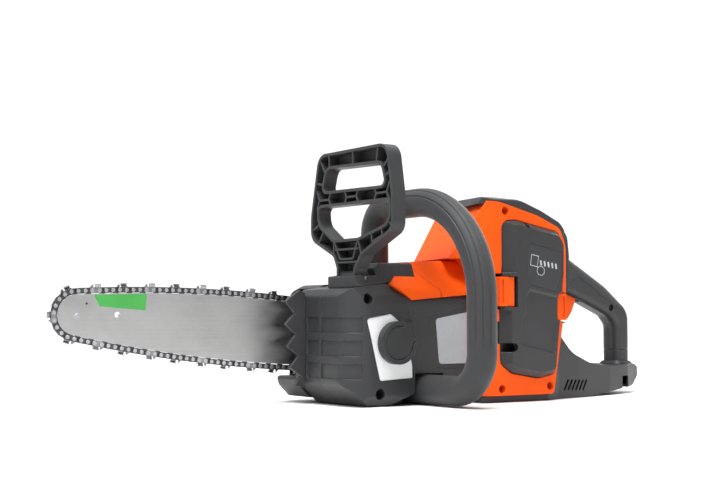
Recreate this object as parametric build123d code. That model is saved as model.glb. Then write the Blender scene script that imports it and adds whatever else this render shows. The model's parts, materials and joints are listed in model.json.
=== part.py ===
from build123d import *
from math import acos, atan2, cos, degrees, hypot, pi, radians, sin
import os

# Cordless chainsaw. Frame: +X forward along the bar, +Y the operator's left, +Z up.
# Shapes are drawn from the drive-sprocket axis (X = 0) and the surface the saw rests
# on (Z = 0). save() then moves the origin back to the middle of the saw's flat base.

# ---------------------------------------------------------------- driving dimensions (mm)
BASE_X = -110.0          # origin of the finished part: the middle of the flat base
AXIS_Z = 59.0            # drive-sprocket and motor axis above the floor
GAP = 0.3                # clearance between neighbouring shells
WALL = 2.6               # moulded wall thickness

# body
FRONT_X = 76.0           # front face of the body
BODY_BACK_X = -66.0      # where the body meets the battery tower
LEFT_Y = 50.0            # left flank
RIGHT_Y = -38.0          # right flank, behind the guide bar
DECK_Z = 112.0           # top of the dark body
HOOD_Z = 133.0           # ridge of the orange hood
SPLIT_Y = 0.0            # parting plane of the two body halves

# battery tower
TOWER_BACK_X = -171.5     # at its widest; the back leans forward below
TOWER_FOOT_X = -152.5
TOWER_CORNER_X = -173.5   # the back corners' rounding starts behind the back face
TOWER_LEFT_Y = 66.0
TOWER_RIGHT_Y = -45.0
TOWER_FLOOR_Z = 6.5
BAY_DEPTH_Y = -18.0      # inner end of the battery bay
BATTERY_FACE_Y = 73.0

# front handle
HANDLE_X = -12.0
HANDLE_R = 13.5
HANDLE_LEFT_Y = 126.0
HANDLE_TOP_Z = 188.0
HANDLE_RIGHT_Y = -38.0

# rear handle
GRIP_Y = -5.0
GRIP_HALF_WIDTH = 12.5
GRIP_ROOT_X = -171.8
FOOT_BACK_X = -336.0

# hand guard
GUARD_FRONT_X = 60.0
GUARD_DEPTH = 14.0
GUARD_WALL = 2.6
GUARD_RIB = 1.9
GUARD_PIVOT = (51.0, 116.0)     # X, Z

# guide bar and chain
BAR_TILT = 4.6           # nose-up angle of the bar
BAR_Y = -45.0
BAR_THICK = 3.6
GROOVE = 1.3
PITCH = 6.35             # half the distance over three rivets
RIVETS = 112
DRIVE_TEETH = 8
NOSE_TEETH = 10
TRACK_HALF_WIDTH = 32.5  # rivet line above the bar's middle line, at its widest
TRACK_WIDEST_U = 110.0
TAIL_TRACK_R = 60.0
TAIL_TRACK_U = 45.0
BAR_TAIL_U = 24.0
RAIL_DROP = 2.9          # rivet line to the bar's rail
GROOVE_DEPTH = 6.0
LINK_R = 2.5
TANG_DEPTH = 5.0
DRIVE_LINK_T = 1.1
STRAP_T = 0.9
RIVET_R = 1.2
RIVET_HOLE_R = 1.3
STUD_U = 48.0            # bar stud, along the bar's middle line

STUD_X = STUD_U * cos(radians(BAR_TILT))
STUD_Z = AXIS_Z + STUD_U * sin(radians(BAR_TILT))

DRIVE_R = PITCH / (2 * sin(pi / (2 * DRIVE_TEETH)))
NOSE_R = PITCH / (2 * sin(pi / (2 * NOSE_TEETH)))

# oil tank
CAP_X = 28.0
CAP_Z = 57.5
CAP_R = 19.5

parts = {}


# ---------------------------------------------------------------- drawing helpers
def rounded(points, radius):
    """Closed outline through points, each corner rounded."""
    return make_face(FilletPolyline(*points, radius=radius, close=True).edges())


def sharp(points):
    return make_face(Polyline(*points, close=True).edges())


def side_prism(face, y0, y1):
    """Extrude an X-Z outline from y0 to y1."""
    return extrude(Plane.XZ.offset(-y1) * face, amount=y1 - y0)


def front_prism(face, x0, x1):
    """Extrude a Y-Z outline from x0 to x1."""
    return extrude(Plane.YZ.offset(x0) * face, amount=x1 - x0)


def plan_prism(face, z0, z1):
    return extrude(Plane.XY.offset(z0) * face, amount=z1 - z0)


def block(x0, x1, y0, y1, z0, z1):
    return Pos((x0 + x1) / 2, (y0 + y1) / 2, (z0 + z1) / 2) * Box(x1 - x0, y1 - y0, z1 - z0)


def rod_y(x, z, radius, y0, y1):
    """Round bar along Y."""
    return side_prism(Pos(x, z) * Circle(radius), y0, y1)


def rod_x(y, z, radius, x0, x1):
    return front_prism(Pos(y, z) * Circle(radius), x0, x1)


def rod_z(x, y, radius, z0, z1):
    return plan_prism(Pos(x, y) * Circle(radius), z0, z1)


def tube_y(x, z, outer, inner, y0, y1):
    return side_prism(Pos(x, z) * (Circle(outer) - Circle(inner)), y0, y1)


def group(solids):
    return Compound(children=list(solids))


def save(name, shape):
    parts[name] = Pos(-BASE_X, 0, 0) * shape


def screw_y(x, z, y_head, length, direction=1, head_r=3.2, shank_r=1.8):
    """Socket-head screw along Y; direction is +1 when its head faces +Y."""
    head_end = y_head - direction * 2.4
    head = rod_y(x, z, head_r, *sorted((y_head, head_end)))
    socket = side_prism(Pos(x, z) * RegularPolygon(1.6, 6), *sorted((y_head, y_head - direction * 1.5)))
    shank = rod_y(x, z, shank_r, *sorted((head_end, head_end - direction * length)))
    return head + shank - socket


# ---------------------------------------------------------------- guide bar and chain
class Track:
    """The rivets' path: nose arc, long crown, tail arc, straight run, sprocket arc."""

    def __init__(self, length):
        self.length = length
        half = TRACK_HALF_WIDTH
        span = length - TRACK_WIDEST_U
        self.crown_r = (span ** 2 + half ** 2 - NOSE_R ** 2) / (2 * (half - NOSE_R))
        self.crown = (TRACK_WIDEST_U, half - self.crown_r)
        self.nose_end = atan2(self.crown_r - half, span)
        self.crown_end = acos((TAIL_TRACK_U - TRACK_WIDEST_U) / self.crown_r)
        reach = self.crown_r - TAIL_TRACK_R
        self.tail = (self.crown[0] + reach * cos(self.crown_end),
                     self.crown[1] + reach * sin(self.crown_end))
        distance = hypot(*self.tail)
        swing = acos((DRIVE_R - TAIL_TRACK_R) / distance)
        self.tail_end = atan2(self.tail[1], self.tail[0]) + swing
        self.straight = (distance ** 2 - (TAIL_TRACK_R - DRIVE_R) ** 2) ** 0.5

    def sections(self):
        """(centre, radius, first normal angle, last normal angle) of each arc, nose first."""
        return [((self.length, 0.0), NOSE_R, 0.0, self.nose_end),
                (self.crown, self.crown_r, self.nose_end, self.crown_end),
                (self.tail, TAIL_TRACK_R, self.crown_end, self.tail_end),
                ((0.0, 0.0), DRIVE_R, self.tail_end, pi)]

    def half_length(self):
        return self.straight + sum(r * (b - a) for _, r, a, b in self.sections())

    def upper_point(self, s):
        """Point on the upper half, a distance s from the nose tip."""
        for index, (centre, radius, first, last) in enumerate(self.sections()):
            if index == 3:
                if s < self.straight:
                    x = self.tail[0] + TAIL_TRACK_R * cos(first) - s * sin(first)
                    return x, self.tail[1] + TAIL_TRACK_R * sin(first) + s * cos(first)
                s -= self.straight
            arc = radius * (last - first)
            if s <= arc or index == 3:
                angle = first + s / radius
                return centre[0] + radius * cos(angle), centre[1] + radius * sin(angle)
            s -= arc

    def point(self, s):
        whole = 2 * self.half_length()
        if s <= whole / 2:
            return self.upper_point(s)
        x, z = self.upper_point(whole - s)
        return x, -z

    def outline(self, drop):
        """Bar outline: the path moved inwards by drop and cut off at the tail."""
        def on_arc(arc, angle):
            (cx, cz), radius = arc[0], arc[1] - drop
            return cx + radius * cos(angle), cz + radius * sin(angle)

        nose, crown, tail = self.sections()[:3]
        cut = acos((BAR_TAIL_U - self.tail[0]) / (TAIL_TRACK_R - drop))
        edges = [ThreePointArc(on_arc(nose, -self.nose_end), on_arc(nose, 0), on_arc(nose, self.nose_end))]
        ends = []
        for mirrored in (1, -1):
            for arc, last in ((crown, self.crown_end), (tail, cut)):
                angles = (arc[2], (arc[2] + last) / 2, last)
                points = [(x, z * mirrored) for x, z in (on_arc(arc, a) for a in angles)]
                edges.append(ThreePointArc(*points))
            ends.append(points[-1])
        edges.append(Line(*ends))
        return make_face([edge.edge() for edge in edges])


def solve_track():
    """Bar length for which the chain closes on a whole number of links."""
    low, high = 280.0, 320.0
    while high - low > 1e-6:
        middle = (low + high) / 2
        if Track(middle).half_length() < RIVETS * PITCH / 2:
            low = middle
        else:
            high = middle
    return Track(low)


TRACK = solve_track()
BAR_PLACE = Pos(0, BAR_Y, AXIS_Z) * Rot(0, -BAR_TILT, 0)


def bar_prism(face, y0, y1):
    """Extrude an outline drawn in the bar's own frame."""
    return BAR_PLACE * side_prism(face, y0, y1)


def make_bar():
    half = BAR_THICK / 2
    plate = side_prism(TRACK.outline(RAIL_DROP), -half, half)
    ring = TRACK.outline(RAIL_DROP) - TRACK.outline(RAIL_DROP + GROOVE_DEPTH)
    groove = side_prism(ring, -GROOVE / 2, GROOVE / 2)
    stud_slot = side_prism(Pos(52, 0) * SlotOverall(44, 8.4), -half, half)
    wheel_slot = rod_y(TRACK.length, 0, NOSE_R - RAIL_DROP, -GROOVE / 2, GROOVE / 2)
    hub_hole = rod_y(TRACK.length, 0, 4.0, -half, half)
    plate = plate - groove - stud_slot - wheel_slot - hub_hole
    for side in (1, -1):
        plate -= rod_y(36, side * 17, 2.6, -half, half)
    plate -= rod_y(TRACK.length - 37, 3, 2.6, -half, half)
    plate -= rod_y(TRACK.length - 8, 10.4, 1.0, -half, half)
    save("guide_bar", BAR_PLACE * plate)

    wheel = Circle(14.9) - Circle(4.1)
    for index in range(NOSE_TEETH):
        wheel -= Rot(0, 0, index * 360 / NOSE_TEETH) * Pos(15.6, 0) * Circle(2.1)
    save("nose_sprocket", bar_prism(Pos(TRACK.length, 0) * wheel, -0.55, 0.55))
    hub = tube_y(TRACK.length, 0, 4.0, 1.2, -half, half)
    save("nose_hub", BAR_PLACE * hub)


def capsule(radius):
    """Figure round one pair of rivets."""
    ends = Pos(PITCH / 2, 0) * Circle(radius) + Pos(-PITCH / 2, 0) * Circle(radius)
    return ends + Rectangle(PITCH, 2 * radius)


def rivet_holes():
    return Pos(PITCH / 2, 0) * Circle(RIVET_HOLE_R) + Pos(-PITCH / 2, 0) * Circle(RIVET_HOLE_R)


def drive_link():
    tang = sharp([(-3.4, -1.2), (3.2, -1.2), (1.7, -TANG_DEPTH + 0.7), (0.9, -TANG_DEPTH), (-0.9, -TANG_DEPTH)])
    return side_prism(capsule(LINK_R) + tang - rivet_holes(), -DRIVE_LINK_T / 2, DRIVE_LINK_T / 2)


STRAP_Y = DRIVE_LINK_T / 2 + 0.05


def tie_strap():
    return side_prism(capsule(LINK_R) - rivet_holes(), STRAP_Y, STRAP_Y + STRAP_T)


def cutter():
    """Left cutter: strap, raker in front, and a side plate that turns in to a top plate."""
    plate = capsule(LINK_R)
    raker = sharp([(2.2, 1.5), (2.6, 4.6), (3.5, 5.0), (5.3, 2.6), (5.6, 0.8)])
    web = sharp([(-5.3, 0.8), (-4.7, 3.0), (0.9, 3.0), (0.3, 1.2)])
    strap = side_prism(plate + raker + web - rivet_holes(), STRAP_Y, STRAP_Y + STRAP_T)
    outer = STRAP_Y + STRAP_T
    shell = sharp([(STRAP_Y, 2.6), (outer, 2.6), (outer + 1.3, 4.2), (outer + 1.4, 5.2), (outer + 0.9, 5.8),
                   (-0.3, 5.7), (-0.3, 5.0), (outer, 5.0), (outer + 0.45, 4.3), (STRAP_Y, 3.3)])
    tooth = front_prism(shell, -4.4, 0.8)
    face_cut = Pos(0.9, 0, 5) * Rot(0, 0, -28) * Box(3.0, 14, 8, align=(Align.MIN, Align.CENTER, Align.CENTER))
    heel_cut = Pos(-4.4, 0, 6.0) * Rot(0, -18, 0) * Box(12, 14, 1.4)
    return strap + (tooth - face_cut - heel_cut)


def make_chain():
    left_cutter = cutter()
    strap = tie_strap()
    link = drive_link()
    rivet = rod_y(0, 0, RIVET_R, -STRAP_Y - STRAP_T, STRAP_Y + STRAP_T)
    for side in (1, -1):
        rivet += rod_y(0, 0, 1.75, *sorted((side * (STRAP_Y + STRAP_T), side * (STRAP_Y + STRAP_T + 0.4))))

    points = [TRACK.point(index * PITCH) for index in range(RIVETS)]
    links, straps, left, right, rivets = [], [], [], [], []
    for index, (x, z) in enumerate(points):
        ahead_x, ahead_z = points[index - 1]
        angle = degrees(atan2(ahead_z - z, ahead_x - x))
        place = BAR_PLACE * Pos((x + ahead_x) / 2, 0, (z + ahead_z) / 2) * Rot(0, -angle, 0)
        rivets.append(BAR_PLACE * Pos(x, 0, z) * rivet)
        if index % 2:
            links.append(place * link)
            continue
        kind = (index // 2) % 4
        opposite = mirror(strap, Plane.XZ)
        if kind == 0:
            left.append(place * left_cutter)
            straps.append(place * opposite)
        elif kind == 2:
            right.append(place * mirror(left_cutter, Plane.XZ))
            straps.append(place * strap)
        else:
            straps += [place * strap, place * opposite]
    save("drive_links", group(links))
    save("tie_straps", group(straps))
    save("cutters", group(left + right))
    save("chain_rivets", group(rivets))


def make_drive():
    """Rim sprocket on the motor shaft, clear of the chain's tangs."""
    rims = Circle(13.1) - Circle(4.0)
    for index in range(DRIVE_TEETH):
        rims -= Rot(0, 0, (index + 0.5) * 360 / DRIVE_TEETH) * Pos(11.4, 0) * SlotOverall(3.0, 1.6)
    wheel = tube_y(0, 0, 10.4, 4.0, -0.8, 0.8)
    for side in (1, -1):
        wheel += side_prism(rims, *sorted((side * 0.8, side * 2.2)))
    wheel += tube_y(0, 0, 7.0, 4.0, 2.2, 5.5)
    drum = tube_y(0, AXIS_Z, 21.0, 18.6, -38.5, -31.6) + tube_y(0, AXIS_Z, 21.0, 4.0, BAR_Y + 5.5, -38.5)
    save("drive_sprocket", Pos(0, BAR_Y, AXIS_Z) * wheel + drum)
    band = tube_y(0, AXIS_Z, 22.4, 21.6, -37.0, -32.2)
    band -= block(12, 40, -40, -30, AXIS_Z - 4, AXIS_Z + 4)
    save("brake_band", band)

    shaft = rod_y(0, AXIS_Z, 4.0, BAR_Y - 5.0, 26.0)
    shaft -= tube_y(0, AXIS_Z, 4.1, 3.3, BAR_Y - 3.6, BAR_Y - 2.6)
    save("motor_shaft", shaft)
    clip = Circle(6.2) - Circle(3.3) - Pos(5, 0) * Rectangle(6, 3.2)
    save("sprocket_clip", side_prism(Pos(0, AXIS_Z) * clip, BAR_Y - 3.5, BAR_Y - 2.7))


# ---------------------------------------------------------------- motor
MOTOR_FRONT_Y = -26.0
MOTOR_BACK_Y = 17.0


def make_motor():
    """Electric motor on the sprocket's axis, between two cast flanges."""
    stator = Circle(25.0) - Circle(14.5)
    for index in range(12):
        stator -= Rot(0, 0, index * 30) * Pos(18.4, 0) * SlotOverall(7.4, 4.0)
    core = side_prism(stator, MOTOR_FRONT_Y + 10, MOTOR_BACK_Y - 8)
    save("motor_stator", Pos(0, 0, AXIS_Z) * core)
    coils = [tube_y(0, AXIS_Z, 22.5, 15.5, y0, y0 + 5) for y0 in (MOTOR_FRONT_Y + 5, MOTOR_BACK_Y - 8)]
    save("motor_windings", group(coils))
    save("motor_rotor", tube_y(0, AXIS_Z, 14.0, 4.0, MOTOR_FRONT_Y + 9, MOTOR_BACK_Y - 7))
    bearings = [tube_y(0, AXIS_Z, 9.5, 4.03, MOTOR_FRONT_Y - 5, MOTOR_FRONT_Y + 1),
                tube_y(0, AXIS_Z, 9.5, 4.03, MOTOR_BACK_Y - 1, MOTOR_BACK_Y + 5)]
    save("motor_bearings", group(bearings))
    flanges = []
    for y0, y1 in ((MOTOR_FRONT_Y - 5, MOTOR_FRONT_Y + 1), (MOTOR_BACK_Y - 1, MOTOR_BACK_Y + 5)):
        inner, outer = (y1, y1 + 12) if y0 < 0 else (y0 - 10, y0)
        flange = tube_y(0, AXIS_Z, 27.0, 9.5, y0, y1) + tube_y(0, AXIS_Z, 27.0, 25.0, inner, outer)
        for index in range(6):
            angle = radians(index * 60)
            flange -= rod_y(17.5 * cos(angle), AXIS_Z + 17.5 * sin(angle), 4.0, y0, y1)
        flanges.append(flange)
    save("motor_flanges", group(flanges))


# ---------------------------------------------------------------- body shells
def body_side(inset=0.0):
    """Side outline of the dark body."""
    n = inset
    return rounded([(BODY_BACK_X + n, n), (54 - n, n), (FRONT_X - n, 20), (FRONT_X - n, 100 - n),
                    (70 - n, 106.5 - n), (31, DECK_Z - n), (8, 95.6 - n), (BODY_BACK_X + n, 101.9 - n)],
                   [0, 8, 10, 5, 4, 0, 0, 0])


def body_plan(inset=0.0):
    n = inset
    return rounded([(BODY_BACK_X + n, RIGHT_Y + n), (FRONT_X - n, RIGHT_Y + n), (FRONT_X - n, LEFT_Y - n),
                    (BODY_BACK_X + n, LEFT_Y - n)], [0, 4, 24 - n, 0])


def body_front(inset=0.0):
    """Cross-section of the dark body: upright left flank, sloping shoulder, flat deck."""
    n = inset
    return rounded([(RIGHT_Y + n, n), (LEFT_Y - 5, n), (LEFT_Y - n, 9), (LEFT_Y - n, 97 - n),
                    (37 - n, DECK_Z + 4 - n), (RIGHT_Y + n, DECK_Z + 4 - n)], [0, 4, 6, 18, 6, 2])


def body_envelope(inset=0.0):
    shape = side_prism(body_side(inset), RIGHT_Y + inset, LEFT_Y - inset)
    shape &= plan_prism(body_plan(inset), inset, DECK_Z)
    return shape & front_prism(body_front(inset), BODY_BACK_X + inset, FRONT_X - inset)


WINDOW = [(58, 79.5), (31, 84), (12.5, 70.5), (5.0, 25.0), (43.5, 23.0)]
LABEL = [(-20, 79.5), (-24, 37), (-62, 37), (-62, 86.5)]
RIB_ROWS = ((66.5, 81.0), (45.6, 59.8), (25.0, 39.2))
LABEL_FRAME = [(-10, 81.5), (-19, 33.5), (-64.5, 32.5), (-64.5, 94)]
FLANK_SCREWS = ((55.5, 97.0), (43.3, 11.5))
FLANK_HOLE_R = 5.0
FLANK_SEAT_Y = 36.0      # seat of the flank screws' heads
SPIKE_SCREW_Y = -33.0
SPIKE_SCREW_Z = (40.0, 84.0)
PUMP_OUTLET = (30.0, 44.0)


def handle_channel():
    """Room under the body for the front handle's lower run."""
    return block(HANDLE_X - HANDLE_R - 2.5, HANDLE_X + HANDLE_R + 2.5, -30, LEFT_Y + 1, -1, 2 * HANDLE_R + 2.0)


def rib_panels():
    """Three sunk bands that wrap round the front corner of the body."""
    cutter_shape = None
    skin = body_envelope() - body_envelope_skin(1.4)
    for z0, z1 in RIB_ROWS:
        left = block(61.5, FRONT_X + 1, 1.8, LEFT_Y + 1, z0, z1)
        right = block(60, FRONT_X + 1, -22.0, -2.2, z0, z1)
        band = (left + right) & skin
        cutter_shape = band if cutter_shape is None else cutter_shape + band
    return cutter_shape


def body_envelope_skin(depth):
    n = depth
    shape = side_prism(rounded([(BODY_BACK_X, 0), (54 - n, 0), (FRONT_X - n, 20), (FRONT_X - n, 103),
                                (66, DECK_Z), (BODY_BACK_X, DECK_Z)], [0, 8, 10, 5, 4, 0]), RIGHT_Y, LEFT_Y - n)
    return shape & plan_prism(rounded([(BODY_BACK_X, RIGHT_Y), (FRONT_X - n, RIGHT_Y), (FRONT_X - n, LEFT_Y - n),
                                       (BODY_BACK_X, LEFT_Y - n)], [0, 3, 24 - n, 0]), 0, DECK_Z)


def make_body():
    solid = body_envelope() - undercut()
    shell = solid - (body_envelope(WALL) - undercut(WALL))
    shell -= rib_panels()
    # oil window with a sunk border, label recess, cooling slots, front-handle channel
    shell -= side_prism(rounded(WINDOW, 3.0), LEFT_Y - WALL - 1, LEFT_Y + 1)
    shell -= side_prism(rounded(LABEL_FRAME, 5.0), LEFT_Y - 0.8, LEFT_Y + 1)
    shell -= side_prism(rounded(LABEL, 4.0), LEFT_Y - 1.6, LEFT_Y + 1)
    channel = handle_channel()
    shell -= channel
    lining = (block(HANDLE_X - HANDLE_R - 5.1, HANDLE_X + HANDLE_R + 5.1, -32.6, LEFT_Y - WALL, 0,
                    2 * HANDLE_R + 4.6) - channel) & solid
    shell += lining
    # the motor's drive end, bar stud, oil-pump outlet and bar tensioner open on the right
    pad = side_prism(rounded([(24, 38), (73, 42), (73, 90), (24, 86)], 5), BAR_Y + BAR_THICK / 2, RIGHT_Y + WALL)
    shell += pad
    shell -= rod_y(0, AXIS_Z, 27.4, BAR_Y, RIGHT_Y + WALL + 1)
    shell -= rod_y(STUD_X, STUD_Z, 4.0, BAR_Y, RIGHT_Y + WALL + 1)
    shell -= rod_y(*PUMP_OUTLET, 1.5, BAR_Y, RIGHT_Y + WALL + 1)
    for z in SPIKE_SCREW_Z:
        shell += rod_x(SPIKE_SCREW_Y, z, 4.2, FRONT_X - 14, FRONT_X - 1)
        shell -= rod_x(SPIKE_SCREW_Y, z, 1.8, FRONT_X - 14, FRONT_X + 1)
    # deep screw holes and bosses on the left flank
    for x, z in FLANK_SCREWS:
        shell += rod_y(x, z, FLANK_HOLE_R + 2, SPLIT_Y + 1, LEFT_Y) & solid
        shell -= rod_y(x, z, FLANK_HOLE_R, FLANK_SEAT_Y, LEFT_Y + 2)
        shell -= rod_y(x, z, 1.8, RIGHT_Y + 6, FLANK_SEAT_Y + 1)
    shell -= guard_well()
    halves = []
    for side in (1, -1):
        y0, y1 = (SPLIT_Y + 0.15, 80) if side > 0 else (-80, SPLIT_Y - 0.15)
        halves.append(shell & block(-200, 200, y0, y1, -5, 300))
    save("left_body_shell", largest(halves[0]))
    save("right_body_shell", largest(halves[1]))


def undercut(grow=0.0):
    """The left flank's raised lower edge, ahead of the front handle and behind it."""
    ahead = sharp([(31 + grow, -1), (31 + grow, 0.2), (5, 11.5 + grow), (2, 13 + grow), (2, -1)])
    behind = sharp([(-30, -1), (-30, 20.5 + grow), (BODY_BACK_X - 1, 20 + grow), (BODY_BACK_X - 1, -1)])
    return side_prism(ahead, 30 - grow, LEFT_Y + 1) + side_prism(behind, 30 - grow, LEFT_Y + 1)


def largest(shape):
    """The biggest solid of a cut shape, without loose slivers."""
    return max(shape.solids(), key=lambda solid: solid.volume)


def guard_well():
    """Slot in the deck where the guard's foot turns."""
    x, z = GUARD_PIVOT
    return block(x - 11, x + 10.8, -1, 38, z - 12, 150)


def make_deck():
    """Dark deck block that carries the guard, bevelled at the front and sides."""
    outline = rounded([(64.5, 107.6), (64.2, 118), (44, 121), (35, 130.5), (DECK_BACK_X, 131.5),
                       (DECK_BACK_X, DECK_Z + GAP), (31, DECK_Z + GAP)], [0, 2.0, 3, 5, 2, 0, 0])
    section = rounded([(-34.4, 105), (43.3, 105), (33, 131.8), (-22, 131.8)], [0, 0, 5, 5])
    plan = rounded([(64.5, -6), (64.5, 39), (58, 43), (DECK_BACK_X, 43), (DECK_BACK_X, -32), (38, -32), (46, -6)],
                   [3, 3, 5, 2, 3, 6, 4])
    deck = side_prism(outline, -32, 43) & front_prism(section, DECK_BACK_X, 75) & plan_prism(plan, 100, 140)
    deck -= guard_well()
    x, z = GUARD_PIVOT
    deck += hinge_cheeks()
    deck -= rod_y(x, z, 2.0, -6, 44)
    for sx, sy in DECK_SCREWS:
        deck -= rod_z(sx, sy, 3.6, DECK_SEAT_Z, 140)
        deck -= rod_z(sx, sy, 1.8, 100, DECK_SEAT_Z + 1)
    deck -= rod_z(HANDLE_X, HANDLE_RIGHT_Y + 1, HANDLE_R + GAP, 105, 150)
    save("guard_deck", largest(deck))


DECK_SCREWS = ((14.0, 27.0), (20.0, -20.0))
DECK_SEAT_Z = 122.0
DECK_BACK_X = -4.0


def hinge_cheeks():
    """Cheeks on both sides of the guard's foot that hold its hinge pin."""
    x, z = GUARD_PIVOT
    right = block(x - 10.6, x + 10.4, -0.7, 2.6, z - 11.6, DECK_Z + 6)
    left = block(x - 10.6, x + 10.4, 34.4, 37.7, z - 11.6, DECK_Z + 6)
    return right + left


# ---------------------------------------------------------------- hand guard
GUARD_OUTER = [(-41, 176), (-28, 234.5), (84, 234.5), (92, 190), (92, 157), (44, 137), (33.4, 124), (33.4, 110),
               (3.6, 110), (3.6, 126), (-2, 137), (-41, 154)]
GUARD_OUTER_R = [40, 14, 15, 40, 12, 12, 4, 0, 0, 5, 8, 14]
UPPER_WINDOW = [(-20.5, 199), (-14, 219.5), (74, 217), (80.5, 197)]
LOWER_WINDOW = [(-28, 184), (86, 183), (86, 164), (38, 152.5), (-2, 152.5), (-26.5, 168)]


def rib(y0, z0, y1, z1):
    """Thin wall across the guard's channel between two points."""
    length = hypot(y1 - y0, z1 - z0)
    angle = degrees(atan2(z1 - z0, y1 - y0))
    wall = Pos((y0 + y1) / 2, (z0 + z1) / 2) * Rot(0, 0, angle) * Rectangle(length, GUARD_RIB)
    return front_prism(wall, GUARD_FRONT_X - GUARD_DEPTH + 1, GUARD_FRONT_X - 0.6)


def guard_ribs():
    ribs = []
    # honeycomb of the crossbar: three pairs of small cells between two large ones
    low, high, middle = 182.0, 200.0, 190.8
    half, lean = 8.0, 4.5
    for y in (-19.0, 26.5, 74.0):
        for side in (-1, 1):
            ribs.append(rib(y + side * (half + lean), low, y + side * half, middle))
            ribs.append(rib(y + side * half, middle, y + side * (half + lean), high))
        ribs.append(rib(y - half, middle, y + half, middle))
    # top rail, uprights and the V below
    ribs += [rib(-18, 217, -26, 229), rib(-10, 217, -11, 236), rib(29, 218, 29, 236), rib(66, 217, 69, 236),
             rib(78, 204, 90, 211), rib(78, 214, 88, 224), rib(-20, 205, -34, 208), rib(85, 172, 94, 176),
             rib(-27, 168, -42, 162), rib(-20, 161, -30, 148), rib(-2, 153, -3, 133), rib(37, 153, 43, 135),
             rib(58, 158, 61, 138), rib(73, 162, 78, 143), rib(60, 148, 76, 153), rib(84, 165, 94, 158),
             rib(0, 143, 38, 143), rib(-2, 151, 8, 134), rib(37, 151, 29, 134), rib(0, 131, 38, 131),
             rib(8, 134, 29, 134)]
    return ribs


def make_guard():
    x0 = GUARD_FRONT_X - GUARD_DEPTH
    outer = rounded(GUARD_OUTER, GUARD_OUTER_R)
    upper = rounded(UPPER_WINDOW, [4, 9, 9, 5])
    lower = rounded(LOWER_WINDOW, [5, 5, 12, 9, 9, 14])
    body = front_prism(outer - upper - lower, x0, GUARD_FRONT_X)
    channel_face = offset(outer, -GUARD_WALL) - offset(upper, GUARD_WALL) - offset(lower, GUARD_WALL)
    channel = front_prism(channel_face, x0 + GUARD_WALL, GUARD_FRONT_X + 1)
    guard = body - channel
    for wall in guard_ribs():
        guard += wall & front_prism(offset(outer, -GUARD_WALL / 2) - offset(upper, GUARD_WALL / 2)
                                    - offset(lower, GUARD_WALL / 2), x0, GUARD_FRONT_X)
    x, z = GUARD_PIVOT
    guard -= block(x0 - 1, GUARD_FRONT_X + 1, 3, 34, 100, z)
    guard += rod_y(x, z, 8.0, 3.6, 33.4)
    guard -= rod_y(x, z, 2.1, 0, 40)
    save("hand_guard", largest(guard))
    save("guard_hinge_pin", rod_y(x, z, 2.0, -0.5, 37.5))
    spring = tube_y(x - 8, 98.5, 4.0, 3.0, 6, 24)
    save("brake_spring", spring)


# ---------------------------------------------------------------- orange hood
def hood_side(inset=0.0):
    n = inset
    return rounded([(28 - n, 110.5 + n), (7.8, 96.2 + n), (BODY_BACK_X + n, 102.5 + n), (BODY_BACK_X + n, 136 - n),
                    (-14, HOOD_Z - n), (4, HOOD_Z - 1 - n), (14 - n, 124)], [0, 0, 0, 0, 30, 6, 3])


def hood_front(inset=0.0):
    n = inset
    return rounded([(RIGHT_Y + n, 94), (LEFT_Y - n, 94), (LEFT_Y - n, 106), (22, HOOD_Z + 3.4 - n),
                    (-22, HOOD_Z + 3.4 - n), (RIGHT_Y + n, 116)], [0, 0, 9, 20, 14, 8])


def hood_envelope(inset=0.0):
    n = inset
    return side_prism(hood_side(n), RIGHT_Y + n, LEFT_Y - n) & front_prism(hood_front(n), BODY_BACK_X + n, 30 - n)


def make_hood():
    hood = hood_envelope() - hood_envelope(WALL)
    trough = sharp([(-31.5, DECK_Z - 0.1), (41, DECK_Z - 0.1), (33.4, 132), (33.4, 150), (-22.4, 150), (-22.4, 132)])
    hood -= front_prism(trough, DECK_BACK_X - GAP, 40)
    # the hood's seam: a shallow groove that curves from the deck down to its lower edge
    seam = plan_prism(Pos(-58, -4) * (Circle(62.5) - Circle(61.7)), 90, 140)
    hood -= seam & (hood_envelope() - hood_envelope(0.9))
    hood -= rod_z(HANDLE_X, HANDLE_RIGHT_Y + 1, HANDLE_R + GAP, 105, 150)
    save("orange_hood", largest(hood))


# ---------------------------------------------------------------- battery tower
SLOPE_FOOT = (-52.0, 134.0)      # X, Z of the front slope's foot on the middle plane
SLOPE_ANGLE = 59.0
SLOPE_YAW = 15.0


def slope_room():
    """Everything behind the tower's leaning, slightly turned front."""
    place = Pos(SLOPE_FOOT[0], 0, SLOPE_FOOT[1]) * Rot(0, 0, -SLOPE_YAW) * Rot(0, -(90 - SLOPE_ANGLE), 0)
    return place * Box(260, 400, 500, align=(Align.MAX, Align.CENTER, Align.CENTER))


def tower_side(inset=0.0):
    n = inset
    return rounded([(BODY_BACK_X - GAP - n, TOWER_FLOOR_Z + n), (BODY_BACK_X - GAP - n, 136.3 + n),
                    (-20, 136.3 + n), (-20, 192 - n), (-84, 190.5 - n), (-132, 179.5 - n), (-162, 168 - n),
                    (TOWER_BACK_X + n, 147), (TOWER_BACK_X + n, 112), (TOWER_FOOT_X + n, TOWER_FLOOR_Z + n)],
                   [2, 0, 0, 0, 60, 50, 12, 14, 60, 4])


def tower_plan(inset=0.0):
    n = inset
    return rounded([(-20, TOWER_RIGHT_Y + n), (-20, 22 - n), (-72, TOWER_LEFT_Y - n),
                    (TOWER_CORNER_X + n, TOWER_LEFT_Y - n), (TOWER_CORNER_X + n, TOWER_RIGHT_Y + n)],
                   [0, 10, 26, 7, 12])


def tower_envelope(inset=0.0):
    n = inset
    shape = side_prism(tower_side(n), TOWER_RIGHT_Y + n, TOWER_LEFT_Y - n)
    shape &= plan_prism(tower_plan(n), 0, 250)
    shape &= Pos(-n * 1.2, 0, 0) * slope_room()
    return shape


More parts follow.
